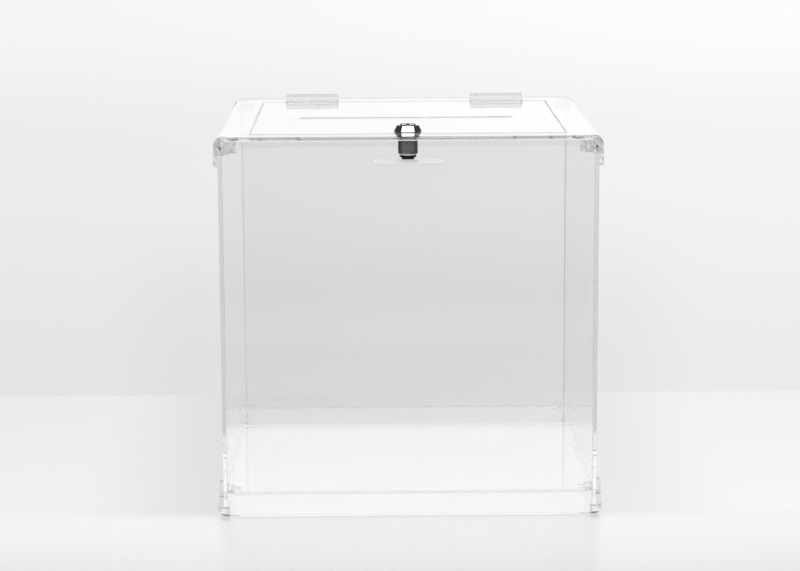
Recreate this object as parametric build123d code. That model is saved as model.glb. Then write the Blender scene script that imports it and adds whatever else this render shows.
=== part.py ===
from build123d import *
import os

# A clear ballot box of thin sheet, put together with moulded corner clips. Its lid hangs on two
# plastic hinges and carries a cam lock, which turns under a shelf inside the front panel.
# Millimetres. +Z is up, the front faces -Y, and the origin is on the table under the box's middle.

# Sheet panels
sheet = 3.0
box_width = 300.0
box_depth = 300.0
wall_height = 302.9
wall_lift = 1.0
base_lift = 17.5
joint_gap = 0.1
edge_break = 0.25

# Top frame and lid
front_strip = 20.0
rear_strip = 29.0
side_strip = 24.0
lid_gap = 1.0
lid_corner = 1.5
ballot_slot_length = 180.0
ballot_slot_width = 6.0
ballot_slot_setback = 117.5

# Rest strip under the front of the lid, and shelf that the cam turns under
rest_strip_thick = 5.0
rest_strip_lap = 3.0
rest_gap = 0.3
shelf_width = 56.0
shelf_depth = 21.0
shelf_thick = 2.0
shelf_drop = 17.9

# Corner clips, all of them
clip_skin = 3.5
clip_core = 5.0
clip_web = 3.0
leg_width = 9.0
leg_nose = 1.2

# Corner clips at the top
knob_height = 14.0
knob_round = 7.0
top_leg_length = 24.0
top_arm_reach = 15.0
top_arm_height = 9.5
top_step_reach = 10.5
top_step_height = 1.0
dimple_radius = 1.1
dimple_depth = 1.4
dimple_inset = 5.8
dimple_drop = 8.2

# Corner clips at the base
foot_skin = 4.5
foot_height = 8.0
foot_round = 6.5
foot_floor = 3.5
sole_reach = 13.0
post_reach = 8.5
base_leg_top = 29.0
base_arm_reach = 14.5
base_arm_height = 3.0
base_step_reach = 10.0
base_step_height = 1.4
ledge_thick = 2.0
bridge_height = 6.0
window_height = 3.6
window_width = 3.8

# Hinges
hinge_inset = 43.0
long_knuckle = 16.0
short_knuckle = 7.3
barrel_radius = 3.0
barrel_lift = 0.4
leaf_thick = 2.0
leaf_reach = 17.0
leaf_corner = 1.5
leaf_clearance = 0.4
knuckle_gap = 0.3
hinge_pin_radius = 1.25
pin_clearance = 0.05

# Lock in the lid
lock_setback = 15.0
head_corner_radius = 10.85
head_top_corner_radius = 8.7
head_rim = 0.4
head_height = 4.9
head_ring_radius = 6.4
head_ring_height = 0.8
thread_radius = 8.0
thread_depth = 0.5
thread_pitch = 1.5
body_length = 17.3
body_flats = 14.0
hole_clearance = 0.1
nut_flats = 21.0
nut_thick = 1.6
nut_clearance = 0.05

# Plug, cam and screw that turn in the lock
plug_face_radius = 5.5
plug_face_depth = 5.0
plug_radius = 4.8
plug_clearance = 0.05
plug_face_inset = 0.2
turning_gap = 0.3
key_slot_width = 2.2
key_slot_length = 8.0
key_slot_depth = 14.0
key_step_width = 4.0
key_step_length = 2.4
rib_width = 0.8
rib_height = 0.7
rib_length = 4.8
rib_inset = 0.4
drive_square = 5.0
drive_clearance = 0.1
washer_radius = 7.0
washer_thick = 1.0
cam_hub_radius = 6.7
cam_arm_width = 9.0
cam_thick = 1.8
cam_reach = 28.0
cam_bend_reach = 9.0
cam_shelf_gap = 0.5
screw_head_radius = 5.0
screw_head_thick = 1.6
screw_radius = 1.9
screw_length = 9.0
screw_slot_width = 1.0
screw_slot_depth = 0.8
screw_clearance = 0.05

# Levels and edges that the pieces share
overrun = 1.0
left = -box_width / 2
front = -box_depth / 2
wall_top = wall_lift + wall_height
top_underside = wall_top + joint_gap
top_face = top_underside + sheet
base_top = base_lift + sheet
seat = sheet + joint_gap
lid_left = left + side_strip + lid_gap
lid_front = front + front_strip + lid_gap
lid_rear = -front - rear_strip - lid_gap
lid_middle = (lid_front + lid_rear) / 2
lock_y = lid_front + lock_setback
shelf_top = wall_top - shelf_drop
shelf_underside = shelf_top - shelf_thick
hinge_y = lid_rear + lid_gap / 2
hinge_lift = barrel_lift + barrel_radius
hinge_x = -lid_left - hinge_inset
body_end = top_face - body_length
plug_end = body_end - turning_gap
cam_top = plug_end - washer_thick
cam_underside = cam_top - cam_thick
bridge_low = base_top - bridge_height


def block(x_span, y_span, z_span):
    """A block between a low and a high value along each axis."""
    spans = (x_span, y_span, z_span)
    size = [high - low for low, high in spans]
    middle = [(high + low) / 2 for low, high in spans]
    return Pos(*middle) * Box(*size)


def sheet_block(x_span, y_span, z_span):
    """A flat piece of sheet, with its cut edges broken."""
    piece = block(x_span, y_span, z_span)
    return chamfer(piece.edges(), edge_break)


def plate(outline, low, high):
    """A flat outline drawn at the origin, raised from one level to another."""
    return extrude(Pos(0, 0, low) * outline, high - low)


def with_broken_edges(piece):
    """A level sheet with the rims of its upper and lower face broken."""
    levels = piece.edges().group_by(Axis.Z)
    return chamfer(levels[0] + levels[-1], edge_break)


def post_of(radius, low, high):
    """A round post on the lock's axis, between two levels."""
    return plate(Pos(0, lock_y) * Circle(radius), low, high)


def hexagon(corner_radius):
    """A hexagon on the lock's axis, with a corner at each side and a flat to the front."""
    return Pos(0, lock_y) * RegularPolygon(corner_radius, 6)


def round_corner(solid, corner, radius):
    """Rounds the three edges of a block that meet at one of its corners."""
    return fillet(solid.edges().sort_by_distance(corner)[:3], radius)


def four_corners(front_left):
    """A piece at the front left corner, with its mirror images at the other three."""
    front_right = mirror(front_left, about=Plane.YZ)
    return {
        "front_left": front_left,
        "front_right": front_right,
        "rear_left": mirror(front_left, about=Plane.XZ),
        "rear_right": mirror(front_right, about=Plane.XZ),
    }


def without_corners(panel, notch):
    """A panel with the same notch cut at all four corners of the box."""
    for cut in four_corners(notch).values():
        panel -= cut
    return panel


def knob_room():
    """The space that the top clip's knob takes out of the panels."""
    inner = clip_core + joint_gap
    low = top_face - knob_height - joint_gap
    return block(
        (left - overrun, left + inner), (front - overrun, front + inner), (low, top_face + overrun)
    )


def foot_room():
    """The space that the base clip's foot takes out of the walls' lower corners."""
    inner = clip_core + joint_gap
    high = foot_floor + joint_gap
    return block(
        (left - overrun, left + inner), (front - overrun, front + inner), (-overrun, high)
    )


def bridge_room():
    """The notch in a side panel's edge that lets the base clip's bridge through."""
    return block(
        (left - overrun, left + seat),
        (front - overrun, front + seat + clip_web + joint_gap),
        (bridge_low - joint_gap, base_top + joint_gap),
    )


def side_panel():
    """The left wall, which runs the full depth of the box."""
    panel = sheet_block((left, left + sheet), (front, -front), (wall_lift, wall_top))
    panel = without_corners(panel, knob_room())
    panel = without_corners(panel, foot_room())
    return without_corners(panel, bridge_room())


def front_wall():
    """The front wall, which stands between the side panels."""
    inner = left + seat
    panel = sheet_block((inner, -inner), (front, front + sheet), (wall_lift, wall_top))
    panel = without_corners(panel, knob_room())
    return without_corners(panel, foot_room())


def base_sheet():
    """The raised base, notched at its corners for the clips' posts."""
    inner_x = left + seat
    inner_y = front + seat
    notch_reach = post_reach + joint_gap
    notch = block(
        (left, left + notch_reach), (front, front + notch_reach), (0, base_top + overrun)
    )
    panel = sheet_block((inner_x, -inner_x), (inner_y, -inner_y), (base_lift, base_top))
    return without_corners(panel, notch)


def frame_sheet():
    """The top of the box, a sheet with an opening that the lid fills."""
    outline = Rectangle(-2 * left, -2 * front)
    width = -2 * (lid_left - lid_gap)
    depth = lid_rear - lid_front + 2 * lid_gap
    outline -= Pos(0, lid_middle) * Rectangle(width, depth)
    panel = with_broken_edges(plate(outline, top_underside, top_face))
    return without_corners(panel, knob_room())


def lock_hole(radius, flats):
    """The outline of the lock's body: a circle with a flat to the front and one to the back."""
    return Pos(0, lock_y) * (Circle(radius) & Rectangle(radius * 2, flats))


def lid_sheet():
    """The lid, with the ballot slot and the lock's hole."""
    outline = Rectangle(-2 * lid_left, lid_rear - lid_front)
    outline = Pos(0, lid_middle) * fillet(outline.vertices(), lid_corner)
    slot_y = lid_front + ballot_slot_setback
    outline -= Pos(0, slot_y) * SlotOverall(ballot_slot_length, ballot_slot_width)
    hole = lock_hole(thread_radius + hole_clearance, body_flats + 2 * hole_clearance)
    lid = with_broken_edges(plate(outline, top_underside, top_face))
    return lid - plate(hole, top_underside - overrun, top_face + overrun)


def rest_strip():
    """The strip under the front of the frame, whose rear lip the closed lid lies on."""
    end = left + top_arm_reach + overrun
    inner = front + seat
    strip = sheet_block(
        (end, -end), (inner, lid_front + rest_strip_lap), (wall_top - rest_strip_thick, wall_top)
    )
    lip_room = block(
        (end - overrun, -end + overrun),
        (lid_front - lid_gap, lid_front + rest_strip_lap + overrun),
        (top_underside - rest_gap, wall_top + overrun),
    )
    return strip - lip_room


def cam_shelf():
    """The clear shelf on the inside of the front panel."""
    return sheet_block(
        (-shelf_width / 2, shelf_width / 2),
        (front + seat, front + seat + shelf_depth),
        (shelf_underside, shelf_top),
    )


def stepped_arms(reach, step_reach, z_span, step_span):
    """Two arms inside a corner, along the front wall and the side wall. A taller step is next to
    the corner, and each arm runs on past it at its own height."""
    near_x = left + seat
    near_y = front + seat
    far_x = near_x + clip_web
    far_y = near_y + clip_web
    arms = block((near_x, left + reach), (near_y, far_y), z_span)
    arms += block((near_x, far_x), (near_y, front + reach), z_span)
    arms += block((near_x, left + step_reach), (near_y, far_y), step_span)
    arms += block((near_x, far_x), (near_y, front + step_reach), step_span)
    return arms


def top_clip():
    """The clip at the top front left corner: a round knob with a dimple in its face, a leg down
    the side and two arms."""
    knob = block(
        (left - clip_skin, left + clip_core),
        (front - clip_skin, front + clip_core),
        (top_face - knob_height, top_face),
    )
    knob = round_corner(knob, (left - clip_skin, front - clip_skin, top_face), knob_round)
    dimple_place = Pos(left - clip_skin + dimple_inset, front - clip_skin, top_face - dimple_drop)
    knob -= dimple_place * Rot(90, 0, 0) * Cylinder(dimple_radius, 2 * dimple_depth)
    leg_low = top_face - top_leg_length
    leg = block(
        (left - clip_skin, left - joint_gap),
        (front, front + leg_width),
        (leg_low, top_face - knob_round),
    )
    nose_edge = leg.edges().sort_by_distance((left - clip_skin, front + leg_width / 2, leg_low))[0]
    leg = chamfer(nose_edge, leg_nose)
    arm_top = top_underside - joint_gap
    arm_low = arm_top - top_arm_height
    arms = stepped_arms(
        top_arm_reach,
        top_step_reach,
        (arm_low, arm_top),
        (arm_low - top_step_height, arm_top),
    )
    return knob + leg + arms


def foot_block():
    """The base clip's foot: rounded outside, with grooves that the wall's corners stand in."""
    foot = block(
        (left - foot_skin, left + clip_core), (front - foot_skin, front + clip_core), (0, foot_height)
    )
    foot = round_corner(foot, (left - foot_skin, front - foot_skin, 0), foot_round)
    groove_z = (foot_floor, foot_height + overrun)
    far_x = left + clip_core + overrun
    far_y = front + clip_core + overrun
    foot -= block((left - joint_gap, left + seat), (front - joint_gap, far_y), groove_z)
    foot -= block((left - joint_gap, far_x), (front - joint_gap, front + seat), groove_z)
    return foot


def base_clip():
    """The clip at the base's front left corner, which is also a foot of the box."""
    step_top = base_top + joint_gap + base_arm_height + base_step_height
    leg = block(
        (left - clip_skin, left - joint_gap), (front, front + leg_width), (foot_floor, base_leg_top)
    )
    leg_corner = (left - clip_skin, front + leg_width / 2, base_leg_top)
    leg = chamfer(leg.edges().sort_by_distance(leg_corner)[0], leg_nose)
    window_low = base_lift - window_height / 2
    window_y = front + seat + clip_web / 2
    leg -= block(
        (left - clip_skin - overrun, left + overrun),
        (window_y, window_y + window_width),
        (window_low, window_low + window_height),
    )
    inner_x = left + seat
    inner_y = front + seat
    post = block((inner_x, left + post_reach), (inner_y, front + post_reach), (0, step_top))
    bridge_z = (bridge_low, base_top)
    bridge = block((left - clip_skin, left + sheet), (front, inner_y + clip_web), bridge_z)
    bridge += block((left, inner_x), (inner_y, inner_y + clip_web), bridge_z)
    sole = block((left, left + sole_reach), (front, front + clip_core), (0, wall_lift - joint_gap))
    sole += block((left, left + clip_core), (front, front + sole_reach), (0, wall_lift - joint_gap))
    arms_low = base_top + joint_gap
    arms = stepped_arms(
        base_arm_reach,
        base_step_reach,
        (arms_low, arms_low + base_arm_height),
        (arms_low, step_top),
    )
    ledge_span = (base_lift - joint_gap - ledge_thick, base_lift - joint_gap)
    arms += stepped_arms(base_arm_reach, base_step_reach, ledge_span, ledge_span)
    return foot_block() + leg + post + bridge + sole + arms


def hinge_leaf():
    """A hinge's leaf over a sheet's upper face at z = 0, reaching back from the axis along X."""
    half_length = long_knuckle + short_knuckle
    leaf_start = barrel_radius + leaf_clearance
    leaf_span = (joint_gap, leaf_thick)
    leaf = block((-half_length, half_length), (leaf_start, leaf_reach), leaf_span)
    rear_edges = leaf.edges().filter_by(Axis.Z).sort_by(Axis.Y)[-2:]
    leaf = fillet(rear_edges, leaf_corner)
    trim = knuckle_gap / 2
    for start, length in ((-half_length, short_knuckle), (0, long_knuckle)):
        knuckle_span = (start + trim, start + length - trim)
        leaf += block(knuckle_span, (0, leaf_start + overrun), leaf_span)
        leaf += along_hinge(barrel_radius, knuckle_span)
    bore_span = (-half_length - overrun, half_length + overrun)
    return leaf - along_hinge(hinge_pin_radius + pin_clearance, bore_span)


def along_hinge(radius, x_span):
    """A round bar on the hinge's axis."""
    start, end = x_span
    turned = Pos((start + end) / 2, 0, hinge_lift) * Rot(0, 90, 0)
    return turned * Cylinder(radius, end - start)


def hinge_pin():
    """The pin through both leaves' knuckles."""
    half_length = long_knuckle + short_knuckle
    return along_hinge(hinge_pin_radius, (-half_length, half_length))


def hinge_pieces():
    """Both hinges: for each, the leaf on the frame, the same leaf turned round on the lid, and
    the pin."""
    pieces = {}
    for name, x in (("left", -hinge_x), ("right", hinge_x)):
        place = Pos(x, hinge_y, top_face)
        pieces[f"hinge_{name}_frame_leaf"] = place * hinge_leaf()
        pieces[f"hinge_{name}_lid_leaf"] = place * Rot(0, 0, 180) * hinge_leaf()
        pieces[f"hinge_{name}_pin"] = place * hinge_pin()
    return pieces


def threaded_bar():
    """The lock's body below its head, with the thread drawn as rings."""
    root = thread_radius - thread_depth
    turns = int(body_length / thread_pitch)
    profile = [(0, top_face), (thread_radius, top_face)]
    for turn in range(turns):
        crest = top_face - turn * thread_pitch
        profile.append((thread_radius, crest - thread_pitch / 3))
        profile.append((root, crest - thread_pitch * 2 / 3))
        profile.append((thread_radius, crest - thread_pitch))
    profile += [(thread_radius, body_end), (0, body_end)]
    points = [(x, 0, z) for x, z in dict.fromkeys(profile)]
    face = make_face(Polyline(*points, close=True))
    return Pos(0, lock_y) * revolve(face, Axis.Z)


def lock_housing():
    """The lock's six-sided head, its ring round the plug and its threaded body."""
    rim_top = top_face + head_rim
    head_top = top_face + head_height
    head = plate(hexagon(head_corner_radius), top_face, rim_top)
    head += loft(
        [
            Pos(0, 0, rim_top) * hexagon(head_corner_radius),
            Pos(0, 0, head_top) * hexagon(head_top_corner_radius),
        ]
    )
    head += post_of(head_ring_radius, head_top, head_top + head_ring_height)
    flats = plate(lock_hole(thread_radius, body_flats), body_end, top_face)
    housing = head + (threaded_bar() & flats)
    shoulder = head_top + head_ring_height - plug_face_depth
    housing -= post_of(plug_face_radius, shoulder, head_top + head_ring_height + overrun)
    return housing - post_of(plug_radius, body_end - overrun, shoulder + overrun)


def lock_nut():
    """The thin nut that clamps the lid against the lock's head."""
    corner_radius = RegularPolygon(nut_flats / 2, 6, major_radius=False).radius
    ring = hexagon(corner_radius) - Pos(0, lock_y) * Circle(thread_radius + nut_clearance)
    return plate(ring, top_underside - nut_thick, top_underside)


def drive_hole():
    """The square hole of what sits on the plug's end."""
    side = drive_square + 2 * drive_clearance
    return Pos(0, lock_y) * Rectangle(side, side)


def lock_plug():
    """The turning plug, with its key slot between two low ribs, and the square end that drives
    the cam."""
    face_top = top_face + head_height + head_ring_height - plug_face_inset
    shoulder = top_face + head_height + head_ring_height - plug_face_depth + turning_gap
    plug = post_of(plug_face_radius - plug_clearance, shoulder, face_top)
    plug += post_of(plug_radius - plug_clearance, plug_end, shoulder)
    square = Pos(0, lock_y) * Rectangle(drive_square, drive_square)
    plug += plate(square, cam_underside + drive_clearance, plug_end)
    key_slot = Rectangle(key_slot_width, key_slot_length)
    key_slot += Pos(0, (key_slot_length - key_step_length) / 2) * Rectangle(
        key_step_width, key_step_length
    )
    plug -= plate(Pos(0, lock_y) * key_slot, face_top - key_slot_depth, face_top + overrun)
    rib_x = key_slot_width / 2 + rib_inset
    rib_y = lock_y - key_slot_length / 2 + rib_inset
    for rib_left in (-rib_x - rib_width, rib_x):
        plug += block(
            (rib_left, rib_left + rib_width),
            (rib_y, rib_y + rib_length),
            (face_top, face_top + rib_height),
        )
    return plug - post_of(
        screw_radius + screw_clearance, plug_end - overrun, cam_underside + screw_length + overrun
    ) - post_of(screw_radius + screw_clearance, cam_underside, plug_end)


def stop_washer():
    """The washer between the lock's body and the cam."""
    outline = Pos(0, lock_y) * Circle(washer_radius) - drive_hole()
    return plate(outline, cam_top, plug_end)


def lock_cam():
    """The cranked cam. It points back while the lid is free, and its tip lies lower than the
    shelf, so that half a turn brings it under the shelf."""
    tip_top = shelf_underside - cam_shelf_gap
    bend = lock_y + cam_bend_reach
    tip = lock_y + cam_reach
    half = cam_arm_width / 2
    arm = block((-half, half), (lock_y, bend), (cam_underside, cam_top))
    arm += block((-half, half), (bend - cam_thick, bend), (tip_top - cam_thick, cam_top))
    arm += block((-half, half), (bend - cam_thick, tip), (tip_top - cam_thick, tip_top))
    start = lock_y - half
    outline = Pos(0, (start + tip) / 2) * SlotOverall(tip - start, cam_arm_width, rotation=90)
    arm &= plate(outline, tip_top - cam_thick, cam_top)
    cam = arm + post_of(cam_hub_radius, cam_underside, cam_top)
    return cam - plate(drive_hole(), cam_underside - overrun, cam_top + overrun)


def cam_screw():
    """The slotted screw that holds the cam on the plug."""
    head_low = cam_underside - screw_head_thick
    head = post_of(screw_head_radius, head_low, cam_underside)
    screw_slot = Pos(0, lock_y) * Rectangle(2 * screw_head_radius + overrun, screw_slot_width)
    head -= plate(screw_slot, head_low - overrun, head_low + screw_slot_depth)
    return head + post_of(screw_radius, cam_underside, cam_underside + screw_length)


def all_pieces():
    """Every piece of the box by its name."""
    left_panel = side_panel()
    front_panel = front_wall()
    pieces = {
        "front_panel": front_panel,
        "back_panel": mirror(front_panel, about=Plane.XZ),
        "left_panel": left_panel,
        "right_panel": mirror(left_panel, about=Plane.YZ),
        "base_panel": base_sheet(),
        "top_frame": frame_sheet(),
        "lid": lid_sheet(),
        "lid_rest_strip": rest_strip(),
        "cam_shelf": cam_shelf(),
        "lock_housing": lock_housing(),
        "lock_nut": lock_nut(),
        "lock_plug": lock_plug(),
        "stop_washer": stop_washer(),
        "lock_cam": lock_cam(),
        "cam_screw": cam_screw(),
    }
    for corner, clip in four_corners(top_clip()).items():
        pieces[f"top_clip_{corner}"] = clip
    for corner, clip in four_corners(base_clip()).items():
        pieces[f"base_clip_{corner}"] = clip
    pieces.update(hinge_pieces())
    return pieces


os.makedirs("parts", exist_ok=True)
for piece_name, piece in all_pieces().items():
    export_step(piece, os.path.join("parts", f"{piece_name}.step"))
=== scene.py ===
"""Dresses a clear ballot box and stands it on a pale table.

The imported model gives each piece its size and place. This file gives the pieces their finishes,
rounds the edges of the moulded and metal ones, and sets up the table, the room, the lamps and
the camera. Lengths are in metres. Levels are greys of the screen, from 0 for black to 255.
"""

import logging
import math
from dataclasses import dataclass, field, replace
from enum import Enum
from typing import Dict, Iterable, List, Mapping, Optional, Sequence, Tuple, Union

import bpy
from mathutils import Matrix, Vector


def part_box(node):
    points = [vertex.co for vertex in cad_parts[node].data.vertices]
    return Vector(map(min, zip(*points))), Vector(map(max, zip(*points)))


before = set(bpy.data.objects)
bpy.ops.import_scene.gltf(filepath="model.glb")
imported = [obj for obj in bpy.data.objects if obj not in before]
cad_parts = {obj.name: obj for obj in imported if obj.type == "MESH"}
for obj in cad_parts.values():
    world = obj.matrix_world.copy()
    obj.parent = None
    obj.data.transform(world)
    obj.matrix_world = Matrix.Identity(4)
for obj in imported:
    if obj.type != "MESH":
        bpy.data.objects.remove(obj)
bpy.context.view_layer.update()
log = logging.getLogger("ballot_box")

MM = 0.001

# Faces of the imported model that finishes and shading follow
LID_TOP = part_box("lid")[1].z
SHEET_THICKNESS = LID_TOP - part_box("lid")[0].z
BASE_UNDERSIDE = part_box("base_panel")[0].z
BOX_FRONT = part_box("top_frame")[0].y
HALF_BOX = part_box("top_frame")[1].x
WALL_INNER = HALF_BOX - SHEET_THICKNESS
TOP_CLIP_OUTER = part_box("top_clip_front_right")[1].x

Colour = Tuple[float, float, float, float]
Span = Tuple[float, float]
Socket = bpy.types.NodeSocket
Sockets = Dict[str, bpy.types.NodeSocket]
Wire = Union[bpy.types.NodeSocket, float, Tuple[float, ...]]


class Axis(Enum):
    """The direction in which a sheet is thin."""

    X = 0
    Y = 1
    Z = 2


class Side(Enum):
    """The two sides of the box, seen from the front."""

    LEFT = "left"
    RIGHT = "right"


class Level(Enum):
    """The two levels at which clips hold the corners."""

    TOP = "top"
    BASE = "base"


class Corner(Enum):
    """The four upright corners of the box."""

    FRONT_LEFT = "front_left"
    FRONT_RIGHT = "front_right"
    REAR_LEFT = "rear_left"
    REAR_RIGHT = "rear_right"


def grey(level: float) -> Colour:
    """Turns a grey of the screen into the linear colour that renders as it.

    Args:
        level: the grey, from 0 for black to 255 for white.

    Returns:
        Red, green, blue and alpha, linear.
    """
    share = level / 255
    linear = share / 12.92 if share <= 0.04045 else ((share + 0.055) / 1.055) ** 2.4
    return (linear, linear, linear, 1.0)


class Wiring:
    """Puts nodes into one shader tree and joins them."""

    # A Mix node has its sockets once for each kind of value, under the same names
    colour_mix_inputs = (0, 6, 7)
    colour_mix_output = 2

    def __init__(self, tree: bpy.types.NodeTree) -> None:
        """Starts with a tree, which may hold nodes already."""
        self.tree = tree

    def feed(self, socket: Socket, wire: Wire) -> None:
        """Joins an input to a socket, or sets it to a plain value.

        Args:
            socket: the input.
            wire: the socket that feeds it, or the value.
        """
        if isinstance(wire, bpy.types.NodeSocket):
            self.tree.links.new(wire, socket)
        else:
            socket.default_value = wire

    def node(
        self, kind: str, wires: Optional[Mapping[Union[str, int], Wire]] = None, **settings: object
    ) -> bpy.types.Node:
        """Adds a node.

        Args:
            kind: the node's class name without the start that all shader nodes share.
            wires: what feeds its inputs, by name or number.
            settings: values of the node's own properties.

        Returns:
            The new node.
        """
        made = self.tree.nodes.new("ShaderNode" + kind)
        for name, value in settings.items():
            setattr(made, name, value)
        for key, wire in (wires or {}).items():
            self.feed(made.inputs[key], wire)
        return made

    def maths(self, operation: str, *wires: Wire) -> Socket:
        """Works out a number from one to three others, by the Math node's operation."""
        return self.node("Math", dict(enumerate(wires)), operation=operation).outputs[0]

    def ease(
        self, value: Wire, low: float, high: float, start: float = 0.0, end: float = 1.0
    ) -> Socket:
        """Turns smoothly from one value to another while value goes from low to high.

        Args:
            value: what decides.
            low: value where the turn starts.
            high: value where it ends.
            start: the result at and below low.
            end: the result at and above high.

        Returns:
            The result's socket.
        """
        wires = {"Value": value, "From Min": low, "From Max": high, "To Min": start, "To Max": end}
        return self.node("MapRange", wires, interpolation_type="SMOOTHSTEP").outputs[0]

    def fade(self, value: Wire, low: float, high: float) -> Socket:
        """Goes smoothly from one to nothing while value goes from low to high."""
        return self.ease(value, low, high, 1.0, 0.0)

    def blend(self, share: Wire, first: Wire, second: Wire) -> Socket:
        """Mixes two colours.

        Args:
            share: how much of the second colour there is.
            first: one colour.
            second: the other.

        Returns:
            The mixed colour's socket.
        """
        wires = dict(zip(self.colour_mix_inputs, (share, first, second)))
        return self.node("Mix", wires, data_type="RGBA").outputs[self.colour_mix_output]

    def joined(self, share: Wire, first: bpy.types.Node, second: bpy.types.Node) -> Socket:
        """Mixes two shaders, by the share of the second."""
        wires = dict(enumerate((share, first.outputs[0], second.outputs[0])))
        return self.node("MixShader", wires).outputs[0]

    def scaled(self, colour: Wire, by: Wire) -> Socket:
        """Makes a colour lighter or darker by a number."""
        return self.node("VectorMath", {0: colour, "Scale": by}, operation="SCALE").outputs[0]

    def parts(self, vector: Wire) -> List[Socket]:
        """Takes a vector apart into its X, Y and Z."""
        return list(self.node("SeparateXYZ", {0: vector}).outputs)

    def vector(self, *parts: Wire) -> Socket:
        """Makes a vector from up to three parts, the rest of which are nothing."""
        return self.node("CombineXYZ", dict(enumerate(parts))).outputs[0]

    def noise(self, place: Wire, scale: Wire, detail: float = 2.0, twist: float = 0.0) -> Socket:
        """Cloudy values around one half.

        Args:
            place: the point of the surface.
            scale: how many clouds there are in a metre.
            detail: how many finer layers are laid over the first.
            twist: how much the clouds are bent.

        Returns:
            The value's socket.
        """
        wires = {"Vector": place, "Scale": scale, "Detail": detail, "Distortion": twist}
        return self.node("TexNoise", wires).outputs["Fac"]

    def facing_away(self) -> Socket:
        """How far a surface turns away from the eye, from nothing to one."""
        return self.node("LayerWeight", {"Blend": 0.5}).outputs["Facing"]

    def was_mirrored(self) -> Socket:
        """One for what is seen in a mirror or in the mirroring side of clear plastic."""
        path = self.node("LightPath")
        return self.maths("GREATER_THAN", path.outputs["Glossy Depth"], 0.5)


class Effect:
    """A look that several finishes share, as a node group that is built once."""

    name: str = ""
    takes: Mapping[str, Tuple[str, object]] = {}
    gives: Mapping[str, str] = {}

    def wire(self, inside: Wiring, entry: Sockets) -> Sockets:
        """Builds the inside of the group.

        Args:
            inside: the group's wiring.
            entry: the group's inputs by name.

        Returns:
            What each output gives, by name.
        """
        raise NotImplementedError

    def tree(self) -> bpy.types.NodeTree:
        """Finds the group, or builds it on first use."""
        found = bpy.data.node_groups.get(self.name)
        if found is not None:
            return found
        tree = bpy.data.node_groups.new(self.name, "ShaderNodeTree")
        for name, (kind, value) in self.takes.items():
            socket = tree.interface.new_socket(
                name, in_out="INPUT", socket_type="NodeSocket" + kind
            )
            if value is not None:
                socket.default_value = value
        for name, kind in self.gives.items():
            tree.interface.new_socket(name, in_out="OUTPUT", socket_type="NodeSocket" + kind)
        inside = Wiring(tree)
        entry = tree.nodes.new("NodeGroupInput")
        leave = tree.nodes.new("NodeGroupOutput")
        entries = {socket.name: socket for socket in entry.outputs}
        for name, socket in self.wire(inside, entries).items():
            inside.feed(leave.inputs[name], socket)
        return tree

    def lay(self, wiring: Wiring, **values: Wire) -> Sockets:
        """Puts the group into a material.

        Args:
            wiring: the material's wiring.
            values: what feeds the group's inputs, with an underscore for each space in a name.

        Returns:
            The group's outputs by name.
        """
        made = wiring.node("Group", node_tree=self.tree())
        for name, wire in values.items():
            wiring.feed(made.inputs[name.replace("_", " ").capitalize()], wire)
        return {socket.name: socket for socket in made.outputs}


class HairlineScratches(Effect):
    """Thin curved scratches that come and go in patches."""

    name = "hairline_scratches"
    takes = {"Place": ("Vector", None), "Scale": ("Float", 60.0), "Width": ("Float", 0.006)}
    gives = {"Mask": "Float"}
    bend = 0.6
    patch_share = 0.37
    patch_turn = (0.52, 0.66)

    def wire(self, inside: Wiring, entry: Sockets) -> Sockets:
        """Keeps the thin line where a cloud crosses one half, in some patches only.

        Args:
            inside: the group's wiring.
            entry: the group's inputs by name.

        Returns:
            What each output gives, by name.
        """
        cloud = inside.noise(entry["Place"], entry["Scale"], detail=0.0, twist=self.bend)
        off = inside.maths("ABSOLUTE", inside.maths("SUBTRACT", cloud, 0.5))
        line = inside.maths("LESS_THAN", off, entry["Width"])
        patch_scale = inside.maths("MULTIPLY", entry["Scale"], self.patch_share)
        patch = inside.ease(inside.noise(entry["Place"], patch_scale), *self.patch_turn)
        return {"Mask": inside.maths("MULTIPLY", line, patch)}


class SettledDust(Effect):
    """Fine specks, thicker on what faces up."""

    name = "settled_dust"
    takes = {"Place": ("Vector", None), "Scale": ("Float", 700.0), "Amount": ("Float", 0.1)}
    gives = {"Mask": "Float"}
    largest_speck = 0.22
    upward_turn = (-0.2, 0.9)
    least_share = 0.25

    def wire(self, inside: Wiring, entry: Sockets) -> Sockets:
        """Keeps the hearts of some cells, and more of them on upper faces.

        Args:
            inside: the group's wiring.
            entry: the group's inputs by name.

        Returns:
            What each output gives, by name.
        """
        cells = inside.node("TexVoronoi", {"Vector": entry["Place"], "Scale": entry["Scale"]})
        chance, pick, _ = inside.parts(cells.outputs["Color"])
        size = inside.maths("MULTIPLY", chance, self.largest_speck)
        speck = inside.maths("LESS_THAN", cells.outputs["Distance"], size)
        chosen = inside.maths("LESS_THAN", pick, entry["Amount"])
        upward = inside.parts(inside.node("NewGeometry").outputs["Normal"])[Axis.Z.value]
        share = inside.ease(upward, *self.upward_turn, self.least_share, 1.0)
        return {"Mask": inside.maths("MULTIPLY", inside.maths("MULTIPLY", speck, chosen), share)}


class SurfaceWaves(Effect):
    """The slow unevenness of a cast or moulded surface."""

    name = "surface_waves"
    takes = {"Place": ("Vector", None), "Scale": ("Float", 14.0), "Fine share": ("Float", 0.1)}
    gives = {"Height": "Float"}
    finer = 23.0

    def wire(self, inside: Wiring, entry: Sockets) -> Sockets:
        """Adds a little fine unevenness to the slow one.

        Args:
            inside: the group's wiring.
            entry: the group's inputs by name.

        Returns:
            What each output gives, by name.
        """
        slow = inside.noise(entry["Place"], entry["Scale"], detail=1.0)
        fine_scale = inside.maths("MULTIPLY", entry["Scale"], self.finer)
        fine = inside.noise(entry["Place"], fine_scale, detail=1.0)
        return {"Height": inside.maths("MULTIPLY_ADD", fine, entry["Fine share"], slow)}


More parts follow.
